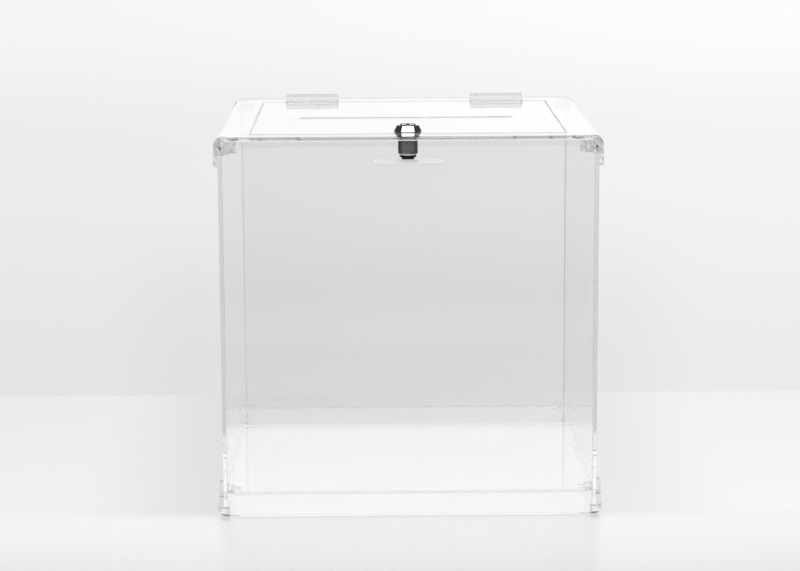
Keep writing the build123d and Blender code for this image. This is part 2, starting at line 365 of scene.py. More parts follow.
class CutMarks(Effect):
    """The fine marks of a saw or a polishing wheel across a cut edge."""

    name = "cut_marks"
    takes = {"Place": ("Vector", None), "Scale": ("Float", 900.0)}
    gives = {"Height": "Float", "Mask": "Float"}
    patch_scale = 35.0

    def wire(self, inside: Wiring, entry: Sockets) -> Sockets:
        """Draws uneven lines across whichever way an edge runs, heavier in some patches.

        Args:
            inside: the group's wiring.
            entry: the group's inputs by name.

        Returns:
            What each output gives, by name.
        """
        right, back, rise = inside.parts(entry["Place"])
        along = inside.maths("ADD", inside.maths("ADD", right, back), rise)
        marks = inside.noise(inside.vector(along), entry["Scale"], detail=3.0)
        patch = inside.noise(entry["Place"], self.patch_scale)
        return {"Height": marks, "Mask": inside.maths("MULTIPLY", marks, patch)}


class TouchedPatches(Effect):
    """Soft patches where fingers left a surface less bright."""

    name = "touched_patches"
    takes = {"Place": ("Vector", None), "Scale": ("Float", 90.0)}
    gives = {"Mask": "Float"}
    bend = 0.4
    patch_turn = (0.45, 0.75)

    def wire(self, inside: Wiring, entry: Sockets) -> Sockets:
        """Keeps the heavier clouds."""
        cloud = inside.noise(entry["Place"], entry["Scale"], detail=4.0, twist=self.bend)
        return {"Mask": inside.ease(cloud, *self.patch_turn)}


class MouldedSwirl(Effect):
    """Streaks and pools where the plastic met in the mould, and bends light more."""

    name = "moulded_swirl"
    takes = {"Place": ("Vector", None), "Scale": ("Float", 420.0)}
    gives = {"Mask": "Float"}
    bend = 0.8
    streak_turn = (0.47, 0.57)

    def wire(self, inside: Wiring, entry: Sockets) -> Sockets:
        """Keeps the heavier half of bent clouds, with a quick turn between the halves."""
        cloud = inside.noise(entry["Place"], entry["Scale"], detail=1.0, twist=self.bend)
        return {"Mask": inside.ease(cloud, *self.streak_turn)}


class Finish:
    """What a surface is made of. Its material is built on first use."""

    name: str

    def shader(self, wiring: Wiring) -> Socket:
        """Builds the finish's nodes and returns the socket of its shader."""
        raise NotImplementedError

    def material(self) -> bpy.types.Material:
        """Finds the material, or builds it on first use."""
        found = bpy.data.materials.get(self.name)
        if found is not None:
            return found
        made = bpy.data.materials.new(self.name)
        made.use_nodes = True
        made.node_tree.nodes.clear()
        wiring = Wiring(made.node_tree)
        wiring.node("OutputMaterial", {"Surface": self.shader(wiring)})
        return made

    @staticmethod
    def place(wiring: Wiring) -> Socket:
        """The point of the surface, in metres, which goes with the piece when it moves."""
        return wiring.node("TexCoord").outputs["Object"]


@dataclass(frozen=True)
class ClearPlastic(Finish):
    """Plastic that light goes through: a polished face, a cut edge or a moulding."""

    name: str
    # The plastic's own tint, and painted shade where it is dark: clip hollows, knuckle ends and
    # front edges
    tint_and_painted_shade: float = 254.0
    # Painted shade where a surface turns away from the eye, which draws dark outlines
    painted_rim_shade: Optional[float] = None
    rim_start: float = 0.55
    rim_end: float = 0.97
    swirl_tint: Optional[float] = None
    # Painted light below low_until: a glow near the table, a highlight low on an edge
    low_painted_light: Optional[float] = None
    low_until: float = 66 * MM
    low_fade: float = 3 * MM
    clear_share: float = 1.0
    roughness: float = 0.0
    index: float = 1.49
    wave_scale: float = 14.0
    wave_depth: float = 0.004 * MM
    fine_share: float = 0.02
    scratch_roughness: float = 0.12
    dust: float = 0.05
    dust_roughness: float = 0.35
    dust_level: float = 232.0
    cut_roughness: float = 0.0
    cut_depth: float = 0.0
    shade: float = 254.0

    def shader(self, wiring: Wiring) -> Socket:
        """Glass for the eye, and a plain clear film for light that only passes.

        Args:
            wiring: the material's wiring.

        Returns:
            The shader's socket.
        """
        place = self.place(wiring)
        dust = SettledDust().lay(wiring, place=place, amount=self.dust)["Mask"]
        marks = CutMarks().lay(wiring, place=place) if self.cut_depth > 0 else {}
        plastic = wiring.node(
            "BsdfPrincipled",
            {
                "Base Color": self.colour(wiring, place, dust),
                "Roughness": self.rough(wiring, place, dust, marks),
                "IOR": self.index,
                "Transmission Weight": self.clear_share,
                "Normal": self.uneven(wiring, place, marks),
            },
        )
        film = wiring.node("BsdfTransparent", {"Color": grey(self.shade)})
        path = wiring.node("LightPath")
        only_passes = wiring.maths(
            "MAXIMUM", path.outputs["Is Shadow Ray"], path.outputs["Is Diffuse Ray"]
        )
        return wiring.joined(only_passes, plastic, film)

    def colour(self, wiring: Wiring, place: Socket, dust: Socket) -> Socket:
        """The plastic's tint and painted shade, with painted light low down, painted shade at
        rims, and swirls.

        Args:
            wiring: the material's wiring.
            place: the point of the surface.
            dust: where dust lies.

        Returns:
            The colour's socket.
        """
        tint_and_painted_shade = grey(self.tint_and_painted_shade)
        # Painted light below a height
        if self.low_painted_light is not None:
            rise = wiring.parts(place)[Axis.Z.value]
            low = wiring.fade(rise, self.low_until, self.low_until + self.low_fade)
            tint_and_painted_shade = wiring.blend(low, tint_and_painted_shade, grey(self.low_painted_light))
        # Painted shade at rims
        if self.painted_rim_shade is not None:
            rim = wiring.ease(wiring.facing_away(), self.rim_start, self.rim_end)
            tint_and_painted_shade = wiring.blend(rim, tint_and_painted_shade, grey(self.painted_rim_shade))
        if self.swirl_tint is not None:
            swirl = MouldedSwirl().lay(wiring, place=place)["Mask"]
            tint_and_painted_shade = wiring.blend(swirl, tint_and_painted_shade, grey(self.swirl_tint))
        return wiring.blend(dust, tint_and_painted_shade, grey(self.dust_level))

    def rough(self, wiring: Wiring, place: Socket, dust: Socket, marks: Sockets) -> Socket:
        """How dull the surface is, with its scratches, its dust and the marks of cutting.

        Args:
            wiring: the material's wiring.
            place: the point of the surface.
            dust: where dust lies.
            marks: the marks of cutting, or nothing.

        Returns:
            The roughness's socket.
        """
        scratches = HairlineScratches().lay(wiring, place=place)["Mask"]
        rough = wiring.maths("MULTIPLY_ADD", scratches, self.scratch_roughness, self.roughness)
        rough = wiring.maths("MULTIPLY_ADD", dust, self.dust_roughness, rough)
        if marks:
            rough = wiring.maths("MULTIPLY_ADD", marks["Mask"], self.cut_roughness, rough)
        return rough

    def uneven(self, wiring: Wiring, place: Socket, marks: Sockets) -> Socket:
        """The surface's direction, with its waves and the marks of cutting.

        Args:
            wiring: the material's wiring.
            place: the point of the surface.
            marks: the marks of cutting, or nothing.

        Returns:
            The normal's socket.
        """
        waves = SurfaceWaves().lay(
            wiring, place=place, scale=self.wave_scale, fine_share=self.fine_share
        )
        bumps = {"Height": waves["Height"], "Distance": self.wave_depth, "Strength": 1.0}
        normal = wiring.node("Bump", bumps).outputs[0]
        if marks:
            cuts = {"Height": marks["Height"], "Distance": self.cut_depth, "Strength": 1.0}
            normal = wiring.node("Bump", {**cuts, "Normal": normal}).outputs[0]
        return normal


@dataclass(frozen=True)
class PlatedMetal(Finish):
    """Metal with a plated or brushed skin, with painted shade at rims and a painted highlight in
    the hole.

    The hole is the stretch of the lock's body from a little under the lid to just below its top.
    """

    name: str
    colour: float = 205.0
    painted_rim_darkening: Optional[float] = None
    rim_start: float = 0.1
    rim_end: float = 0.6
    hole_painted_highlight: Optional[float] = None
    hole_low: float = LID_TOP - 4.4 * MM
    hole_high: float = LID_TOP - 0.8 * MM
    hole_fade: float = 0.5 * MM
    metallic: float = 1.0
    roughness: float = 0.05
    wave_scale: float = 300.0
    wave_depth: float = 0.01 * MM
    touched_roughness: float = 0.08
    touched_change: float = 14.0
    scratch_scale: float = 220.0
    scratch_roughness: float = 0.15

    def shader(self, wiring: Wiring) -> Socket:
        """A metal with soft patches, scratches and a slight ripple.

        Args:
            wiring: the material's wiring.

        Returns:
            The shader's socket.
        """
        place = self.place(wiring)
        touched = TouchedPatches().lay(wiring, place=place)["Mask"]
        scratches = HairlineScratches().lay(wiring, place=place, scale=self.scratch_scale)["Mask"]
        waves = SurfaceWaves().lay(wiring, place=place, scale=self.wave_scale)
        rough = wiring.maths("MULTIPLY_ADD", touched, self.touched_roughness, self.roughness)
        rough = wiring.maths("MULTIPLY_ADD", scratches, self.scratch_roughness, rough)
        bump = wiring.node("Bump", {"Height": waves["Height"], "Distance": self.wave_depth})
        metal = wiring.node(
            "BsdfPrincipled",
            {
                "Base Color": self.skin(wiring, place, touched),
                "Roughness": rough,
                "Metallic": self.metallic,
                "Normal": bump.outputs[0],
            },
        )
        return metal.outputs[0]

    def skin(self, wiring: Wiring, place: Socket, touched: Socket) -> Socket:
        """The metal's colour, with touched patches, painted shade at rims and painted light in the
        lid's hole.

        Args:
            wiring: the material's wiring.
            place: the point of the surface.
            touched: where fingers left it less bright.

        Returns:
            The colour's socket.
        """
        duller = self.colour - self.touched_change
        colour = wiring.blend(touched, grey(self.colour), grey(duller))
        # Painted shade where the surface turns away from the eye
        if self.painted_rim_darkening is not None:
            rim = wiring.ease(wiring.facing_away(), self.rim_start, self.rim_end)
            colour = wiring.blend(rim, colour, grey(self.painted_rim_darkening))
        # Painted highlight on the stretch of the body in the lid's hole
        if self.hole_painted_highlight is not None:
            rise = wiring.parts(place)[Axis.Z.value]
            above = wiring.ease(rise, self.hole_low, self.hole_low + self.hole_fade)
            below = wiring.fade(rise, self.hole_high, self.hole_high + self.hole_fade)
            in_hole = wiring.maths("MULTIPLY", above, below)
            colour = wiring.blend(in_hole, colour, grey(self.hole_painted_highlight))
        return colour


@dataclass(frozen=True)
class PaleTableTop(Finish):
    """The glossy table top: painted light under the box, painted shade beside it and to the front.
    """

    name: str = "pale_table_top"
    # Painted shade on the open table: darker on the left, in front of the box and towards the
    # front
    left_level: float = 234.0
    right_level: float = 239.0
    # A painted pool of light under the box
    under_level: float = 250.0
    under_fade: Span = (-2 * MM, 1 * MM)
    ahead_level: float = 236.0
    front_level: float = 208.0
    # Painted soft shadows beside the box, darker on the left
    shade_left: float = 0.815
    shade_right: float = 0.86
    shade_end: float = 0.29
    shade_front: float = -0.13
    shade_fade: float = 0.035
    dark_start: float = -0.17
    dark_end: float = -0.42
    # Painted light that mirrors see, only round the box
    pool_start: float = 0.32
    pool_end: float = 0.62
    unlit_share: float = 0.12
    roughness: float = 0.14
    specular: float = 0.5
    grain_scale: float = 900.0
    grain_depth: float = 0.01 * MM

    def shader(self, wiring: Wiring) -> Socket:
        """A pale surface, which mirrors see lit only round the box.

        Args:
            wiring: the material's wiring.

        Returns:
            The shader's socket.
        """
        place = self.place(wiring)
        right, back, _ = wiring.parts(place)
        off = wiring.maths("ABSOLUTE", right)
        colour = wiring.scaled(
            self.open_colour_with_painted_shade(wiring, right, back), self.shadow(wiring, right, off, back)
        )
        # Painted pool of light: the table is lighter under the box
        within = wiring.maths("MAXIMUM", off, wiring.maths("ABSOLUTE", back))
        fade_in, fade_out = self.under_fade
        under = wiring.fade(within, HALF_BOX + fade_in, HALF_BOX + fade_out)
        colour = wiring.blend(under, colour, grey(self.under_level))
        grain = wiring.noise(place, self.grain_scale)
        bump = wiring.node("Bump", {"Height": grain, "Distance": self.grain_depth})
        top = wiring.node(
            "BsdfPrincipled",
            {
                "Base Color": wiring.scaled(colour, self.lit(wiring, right, back)),
                "Roughness": self.roughness,
                "Specular IOR Level": self.specular,
                "Normal": bump.outputs[0],
            },
        )
        return top.outputs[0]

    def open_colour_with_painted_shade(self, wiring: Wiring, right: Socket, back: Socket) -> Socket:
        """The surface away from the box, with painted shade: a little lighter on the right, darker
        to the front.

        Args:
            wiring: the material's wiring.
            right: how far right a point is.
            back: how far back it is.

        Returns:
            The colour's socket.
        """
        across = wiring.ease(right, -self.shade_end, self.shade_end)
        colour = wiring.blend(across, grey(self.left_level), grey(self.right_level))
        ahead = wiring.fade(back, -HALF_BOX, self.shade_front)
        colour = wiring.blend(ahead, colour, grey(self.ahead_level))
        # Painted shade falling off towards the front
        front = wiring.fade(back, self.dark_end, self.dark_start)
        return wiring.blend(front, colour, grey(self.front_level))

    def shadow(self, wiring: Wiring, right: Socket, off: Socket, back: Socket) -> Socket:
        """How much light is left in the box's painted soft shadows at its two sides.

        Args:
            wiring: the material's wiring.
            right: how far right a point is.
            off: how far it is from the box's middle, to either side.
            back: how far back it is.

        Returns:
            The share's socket.
        """
        aside = wiring.fade(off, HALF_BOX, self.shade_end)
        behind = wiring.ease(back, self.shade_front - self.shade_fade, self.shade_front)
        beside = wiring.maths("MULTIPLY", aside, behind)
        side = wiring.ease(right, -HALF_BOX, HALF_BOX, self.shade_left, self.shade_right)
        change = wiring.maths("MULTIPLY", beside, wiring.maths("SUBTRACT", side, 1.0))
        return wiring.maths("ADD", 1.0, change)

    def lit(self, wiring: Wiring, right: Socket, back: Socket) -> Socket:
        """How much painted light mirrors see on the surface: less in front of the box and beside
        it.

        Args:
            wiring: the material's wiring.
            right: how far right a point is.
            back: how far back it is.

        Returns:
            The share's socket.
        """
        out = wiring.vector(right, wiring.maths("MINIMUM", back, 0.0))
        distance = wiring.node("VectorMath", {0: out}, operation="LENGTH").outputs["Value"]
        far = wiring.ease(distance, self.pool_start, self.pool_end)
        unlit = wiring.maths("MULTIPLY", far, wiring.was_mirrored())
        return wiring.ease(unlit, 0.0, 1.0, 1.0, self.unlit_share)


class SheetSkin(Enum):
    """The kinds of face that a cut sheet has."""

    FACE = 0
    EDGE = 1
    GLUED = 2
    FRONT = 3
    SAWN = 4
    SIDE = 5
    SHELF = 6
    SHELF_EDGE = 7


SHEET_SKINS: Mapping[SheetSkin, ClearPlastic] = {
    SheetSkin.FACE: ClearPlastic(name="polished_sheet_face"),
    SheetSkin.EDGE: ClearPlastic(
        name="cut_sheet_edge",
        tint_and_painted_shade=250.0,
        roughness=0.01,
        cut_roughness=0.1,
        cut_depth=0.002 * MM,
        dust=0.02,
        shade=252.0,
    ),
    SheetSkin.GLUED: ClearPlastic(
        name="glued_sheet_face", tint_and_painted_shade=253.0, index=1.01, wave_depth=0.0, dust=0.0
    ),
    # The top frame's front edge: a grey band of painted shade, with a painted highlight along its
    # lower edge
    SheetSkin.FRONT: ClearPlastic(
        name="frame_front_edge_painted_shade",
        tint_and_painted_shade=205.0,
        low_painted_light=252.0,
        low_until=LID_TOP - 2.3 * MM,
        low_fade=1.2 * MM,
        roughness=0.03,
        cut_roughness=0.1,
        cut_depth=0.002 * MM,
        dust=0.02,
        shade=250.0,
    ),
    SheetSkin.SAWN: ClearPlastic(
        name="matt_sawn_edge",
        clear_share=0.0,
        roughness=0.5,
        cut_roughness=0.1,
        cut_depth=0.002 * MM,
        dust=0.02,
        shade=250.0,
    ),
    # The side panels' front edges: a grey band of painted shade, with painted light from the table
    # near the bottom
    SheetSkin.SIDE: ClearPlastic(
        name="side_panel_front_edge",
        tint_and_painted_shade=200.0,
        low_painted_light=254.0,
        roughness=0.01,
        dust=0.02,
        shade=250.0,
    ),
    SheetSkin.SHELF: ClearPlastic(
        name="frosted_shelf_top", clear_share=0.5, roughness=0.35, dust=0.02
    ),
    SheetSkin.SHELF_EDGE: ClearPlastic(
        name="matt_shelf_edge", tint_and_painted_shade=240.0, clear_share=0.0, roughness=0.5, dust=0.02
    ),
}
GLUED_STRIP = ClearPlastic(
    name="glued_strip", tint_and_painted_shade=247.0, index=1.0, wave_depth=0.0, dust=0.01
)


class ClipSkin(Enum):
    """The kinds of face that a corner clip has."""

    BODY = 0
    # Painted shade: inside a top clip's hole, on a base clip's sills, and a painted contact shadow
    # under its sole
    HOLLOW = 1
    FAINT = 2


# The clips carry painted shade at their rims
TOP_CLIP_MOULDING = ClearPlastic(
    name="moulded_clip",
    painted_rim_shade=130.0,
    swirl_tint=205.0,
    index=1.5,
    wave_scale=160.0,
    wave_depth=0.02 * MM,
    fine_share=0.0,
    shade=246.0,
)
BASE_CLIP_MOULDING = replace(
    TOP_CLIP_MOULDING, name="moulded_base_clip", painted_rim_shade=150.0, swirl_tint=232.0
)
FAINT_CLIP_MOULDING = ClearPlastic(
    name="moulded_rear_clip", tint_and_painted_shade=252.0, index=1.12, wave_depth=0.0, shade=252.0
)
# Dark clear plastic for painted shade and a painted contact shadow
CLIP_PAINTED_SHADE = ClearPlastic(name="clip_painted_shade", tint_and_painted_shade=70.0, roughness=0.02, shade=246.0)


class HingePart(Enum):
    """The pieces of one hinge."""

    FRAME_LEAF = "frame_leaf"
    LID_LEAF = "lid_leaf"
    PIN = "pin"


class HingeSkin(Enum):
    """The kinds of face that a hinge's leaf has."""

    BARREL = 0
    LEAF = 1
    KNUCKLE_END = 2


HINGE_SKINS: Mapping[HingeSkin, ClearPlastic] = {
    # The barrel's rim gets painted shade, which draws its outline
    HingeSkin.BARREL: ClearPlastic(
        name="moulded_hinge_barrel",
        tint_and_painted_shade=252.0,
        painted_rim_shade=80.0,
        rim_start=0.4,
        rim_end=0.85,
        index=1.2,
        wave_depth=0.0,
        dust=0.0,
        shade=246.0,
    ),
    HingeSkin.LEAF: ClearPlastic(
        name="moulded_hinge_leaf", tint_and_painted_shade=238.0, index=1.3, wave_depth=0.0, dust=0.02, shade=246.0
    ),
    # Painted shade on the knuckle ends, for the dark gaps between knuckles
    HingeSkin.KNUCKLE_END: ClearPlastic(
        name="moulded_knuckle_end", tint_and_painted_shade=160.0, index=1.3, wave_depth=0.0, dust=0.0, shade=246.0
    ),
}

BRIGHT_PLATING = PlatedMetal(name="bright_plating", roughness=0.03)
# The lock's body: darker plating, with painted shade at its rims and a painted highlight in the
# lid's hole
BODY_PLATING_AND_PAINTED_LIGHT = PlatedMetal(
    name="threaded_body_plating_and_painted_light",
    colour=128.0,
    painted_rim_darkening=20.0,
    hole_painted_highlight=240.0,
    roughness=0.3,
    metallic=0.5,
    touched_change=70.0,
)
WASHER_STEEL = PlatedMetal(name="pale_washer_steel", colour=225.0, roughness=0.4, metallic=0.2)
SATIN_STEEL = PlatedMetal(
    name="satin_steel", colour=190.0, roughness=0.32, wave_depth=0.02 * MM
)
# The cam and its screw: steel painted dark for the shade they stand in inside the box
CAM_STEEL_PAINTED_SHADE = PlatedMetal(name="cam_steel_painted_shade", colour=45.0, roughness=0.22)


def cad_piece(node: str) -> bpy.types.Object:
    """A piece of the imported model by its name."""
    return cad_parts[node]


def dress(piece: bpy.types.Object, *finishes: Finish) -> None:
    """Gives a piece its finishes, one for each of its material slots.

    Args:
        piece: the piece.
        finishes: its finishes in the order of its slots.
    """
    piece.data.materials.clear()
    for finish in finishes:
        piece.data.materials.append(finish.material())


def soften(
    piece: bpy.types.Object,
    width: float,
    angle: float = 35.0,
    segments: int = 2,
    weld: float = 0.002 * MM,
) -> None:
    """Rounds a piece's sharp edges a little, as moulding and plating do.

    Args:
        piece: the piece, whose own mesh stays as it is.
        width: how far the rounding reaches from an edge.
        angle: the least angle in degrees between faces whose edge is rounded.
        segments: how many faces each rounding has.
        weld: how near to each other points are taken as one.
    """
    join = piece.modifiers.new("join_faces", "WELD")
    join.merge_threshold = weld
    bevel = piece.modifiers.new("rounded_edges", "BEVEL")
    bevel.width = width
    bevel.segments = segments
    bevel.limit_method = "ANGLE"
    bevel.angle_limit = math.radians(angle)
    bevel.use_clamp_overlap = True
    normals = piece.modifiers.new("even_normals", "WEIGHTED_NORMAL")
    normals.keep_sharp = False


@dataclass
class SheetWork:
    """The flat sheets: walls, base, top frame, lid, shelf and rest strip."""

    thin_along: Mapping[str, Axis] = field(
        default_factory=lambda: {
            "front_panel": Axis.Y,
            "back_panel": Axis.Y,
            "left_panel": Axis.X,
            "right_panel": Axis.X,
            "base_panel": Axis.Z,
            "top_frame": Axis.Z,
            "lid": Axis.Z,
            "cam_shelf": Axis.Z,
        }
    )
    face_share: float = 0.9
    edge_share: float = 0.3
    front_band: float = 1 * MM

    def build(self) -> List[bpy.types.Object]:
        """Polishes the faces, leaves the cut edges duller and lets the glued ones fade.

        Returns:
            The dressed sheets.
        """
        sheets = []
        for node, axis in self.thin_along.items():
            sheet = cad_piece(node)
            dress(sheet, *(SHEET_SKINS[skin] for skin in SheetSkin))
            for polygon in sheet.data.polygons:
                is_face = abs(polygon.normal[axis.value]) > self.face_share
                choose = self.face_skin if is_face else self.edge_skin
                polygon.material_index = choose(node, polygon).value
            sheets.append(sheet)
        strip = cad_piece("lid_rest_strip")
        dress(strip, GLUED_STRIP)
        return sheets + [strip]

    @staticmethod
    def face_skin(node: str, polygon: bpy.types.MeshPolygon) -> SheetSkin:
        """Chooses the skin of a sheet's large face: only the shelf's top is frosted."""
        is_shelf_top = node == "cam_shelf" and polygon.normal.z > 0
        return SheetSkin.SHELF if is_shelf_top else SheetSkin.FACE

    def edge_skin(self, node: str, polygon: bpy.types.MeshPolygon) -> SheetSkin:
        """Chooses the skin of a face on the rim of a sheet.

        Args:
            node: the sheet's name.
            polygon: the face.

        Returns:
            The skin.
        """
        across, back, rise = polygon.normal
        to_front = back < -self.edge_share
        slanted = to_front and abs(rise) > self.edge_share
        if node == "base_panel" and abs(across) > self.edge_share:
            return SheetSkin.GLUED
        if node == "base_panel" and to_front:
            return SheetSkin.SAWN
        if node == "cam_shelf":
            return SheetSkin.SHELF_EDGE if to_front else SheetSkin.GLUED
        if node in ("left_panel", "right_panel") and abs(back) > self.edge_share:
            return SheetSkin.GLUED if back > 0 else SheetSkin.SIDE
        if node == "front_panel" and slanted and rise > 0:
            return SheetSkin.SAWN
        if node == "top_frame" and polygon.center.y < BOX_FRONT + self.front_band:
            if slanted:
                return SheetSkin.SAWN if rise < 0 else SheetSkin.SIDE
            return SheetSkin.FRONT
        return SheetSkin.EDGE


@dataclass
class CornerClips:
    """The moulded clips that hold the sheets at the eight corners."""

    edge_round: float = 0.25 * MM
    dimple_inset: float = 5.8 * MM
    dimple_drop: float = 8.2 * MM
    dimple_reach: float = 1.2 * MM
    window: Span = (13 * MM, 19.5 * MM)
    sole_top: float = 3 * MM
    level_share: float = 0.7
    under_share: float = 0.3

    def build(self) -> List[bpy.types.Object]:
        """Dresses the clips and rounds their edges.

        Returns:
            The clips.
        """
        clips = []
        for level in Level:
            for corner in Corner:
                clip = cad_piece(f"{level.value}_clip_{corner.value}")
                dress(clip, self.moulding(level, corner), CLIP_PAINTED_SHADE, FAINT_CLIP_MOULDING)
                choose = self.top_skin if level is Level.TOP else self.base_skin
                for polygon in clip.data.polygons:
                    polygon.material_index = choose(polygon).value
                soften(clip, self.edge_round)
                clips.append(clip)
        return clips

    @staticmethod
    def moulding(level: Level, corner: Corner) -> ClearPlastic:
        """Chooses a clip's plastic, which shows least in the rear clips at the base.

        Args:
            level: the level that the clip is at.
            corner: the corner that it holds.

        Returns:
            The finish of its body.
        """
        if level is Level.TOP:
            return TOP_CLIP_MOULDING
        is_rear = corner in (Corner.REAR_LEFT, Corner.REAR_RIGHT)
        return FAINT_CLIP_MOULDING if is_rear else BASE_CLIP_MOULDING

    def top_skin(self, polygon: bpy.types.MeshPolygon) -> ClipSkin:
        """Finds the faces inside the blind hole in a top clip's knob, which get painted shade.

        Args:
            polygon: a face of the clip.

        Returns:
            The skin.
        """
        middle = polygon.center
        side = TOP_CLIP_OUTER - self.dimple_inset
        height = LID_TOP - self.dimple_drop
        off = math.hypot(abs(middle.x) - side, middle.z - height)
        is_hollow = off < self.dimple_reach and abs(middle.y) > WALL_INNER
        return ClipSkin.HOLLOW if is_hollow else ClipSkin.BODY

    def base_skin(self, polygon: bpy.types.MeshPolygon) -> ClipSkin:
        """Finds a base clip's sills and sole for painted shade and shadow, and what is faint under
        the base.

        Args:
            polygon: a face of the clip.

        Returns:
            The skin.
        """
        middle = polygon.center
        low, high = self.window
        if max(abs(middle.x), abs(middle.y)) > WALL_INNER:
            # Painted shade on the sills and a painted contact shadow on the sole
            sill = abs(polygon.normal.z) > self.level_share and low < middle.z < high
            sole = polygon.normal.z < -self.under_share and middle.z < self.sole_top
            return ClipSkin.HOLLOW if sill or sole else ClipSkin.BODY
        return ClipSkin.FAINT if middle.z < BASE_UNDERSIDE else ClipSkin.BODY


@dataclass
class LidHinges:
    """The two plastic hinges at the rear of the lid."""

    edge_round: float = 0.2 * MM
    barrel_radius: float = 3.05 * MM
    end_share: float = 0.7

    def build(self) -> List[bpy.types.Object]:
        """Dresses the leaves and pins.

        Returns:
            The hinges' pieces.
        """
        pieces = []
        for side in Side:
            low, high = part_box(f"hinge_{side.value}_pin")
            axis = (low + high) / 2
            for part in HingePart:
                piece = cad_piece(f"hinge_{side.value}_{part.value}")
                dress(piece, *(HINGE_SKINS[skin] for skin in HingeSkin))
                for polygon in piece.data.polygons:
                    polygon.material_index = self.skin(polygon, axis).value
                if part is not HingePart.PIN:
                    soften(piece, self.edge_round)
                pieces.append(piece)
        return pieces

    def skin(self, polygon: bpy.types.MeshPolygon, axis: Vector) -> HingeSkin:
        """Chooses the skin of a face of a leaf or pin.

        Args:
            polygon: the face.
            axis: the middle of the pin.

        Returns:
            The skin.
        """
        # Knuckle ends get painted shade
        if abs(polygon.normal.x) > self.end_share:
            return HingeSkin.KNUCKLE_END
        off = math.hypot(polygon.center.y - axis.y, polygon.center.z - axis.z)
        return HingeSkin.BARREL if off < self.barrel_radius else HingeSkin.LEAF


@dataclass
class CamLock:
    """The lock in the lid, with all that turns in it."""

    edge_round: float = 0.15 * MM
    ring_rise: float = 4.9 * MM
    level_share: float = 0.5
    finishes: Mapping[str, Finish] = field(
        default_factory=lambda: {
            "lock_housing": BRIGHT_PLATING,
            "lock_plug": BRIGHT_PLATING,
            "lock_nut": SATIN_STEEL,
            "stop_washer": WASHER_STEEL,
            "lock_cam": CAM_STEEL_PAINTED_SHADE,
            "cam_screw": CAM_STEEL_PAINTED_SHADE,
        }
    )

    def build(self) -> List[bpy.types.Object]:
        """Plates the head, dulls the body below the lid, paints shade on the head's ring and plug,
        and dresses the rest.

        Returns:
            The lock's pieces.
        """
        pieces = []
        for node, finish in self.finishes.items():
            piece = cad_piece(node)
            dress(piece, finish)
            soften(piece, self.edge_round)
            pieces.append(piece)
        self.dull_body_and_shade_head(cad_piece("lock_housing"), ring_top=True)
        self.dull_body_and_shade_head(cad_piece("lock_plug"), ring_top=False)
        return pieces

    def dull_body_and_shade_head(self, piece: bpy.types.Object, ring_top: bool) -> None:
        """Gives what is under the lid's top a dark plating, and what stands on the head the same
        finish as painted shade.

        Args:
            piece: the housing, whose ring stands on the head, or the plug, whose ribs do.
            ring_top: whether the tops of what stands on the head are dark too.
        """
        piece.data.materials.append(BODY_PLATING_AND_PAINTED_LIGHT.material())
        for polygon in piece.data.polygons:
            height = polygon.center.z
            upright = abs(polygon.normal.z) < self.level_share
            # What stands on the head gets painted shade in the body's dark finish
            on_head = height > LID_TOP + self.ring_rise and (ring_top or upright)
            if height < LID_TOP or on_head:
                polygon.material_index = 1


@dataclass
class Table:
    """The pale table that the box stands on."""

    half_width: float = 1.5
    front: float = -1.6
    back: float = 0.294
    thickness: float = 0.025
    below_feet: float = 0.1 * MM
    edge_round: float = 4 * MM
    edge_segments: int = 4

    def build(self) -> bpy.types.Object:
        """Makes the table top.

        Returns:
            The table top, which isn't part of the box.
        """
        low = Vector((-self.half_width, self.front, -self.thickness))
        high = Vector((self.half_width, self.back, -self.below_feet))
        corners = [
            (x, y, z) for x in (low.x, high.x) for y in (low.y, high.y) for z in (low.z, high.z)
        ]
        left, right = (0, 1, 3, 2), (4, 6, 7, 5)
        front, back = (0, 4, 5, 1), (2, 3, 7, 6)
        bottom, top = (0, 2, 6, 4), (1, 5, 7, 3)
        mesh = bpy.data.meshes.new("table_top")
        mesh.from_pydata(corners, [], [left, right, front, back, bottom, top])
        table = bpy.data.objects.new("table_top", mesh)
        bpy.context.scene.collection.objects.link(table)
        dress(table, PaleTableTop())
        eased = table.modifiers.new("eased_edge", "BEVEL")
        eased.width = self.edge_round
        eased.segments = self.edge_segments
        return table


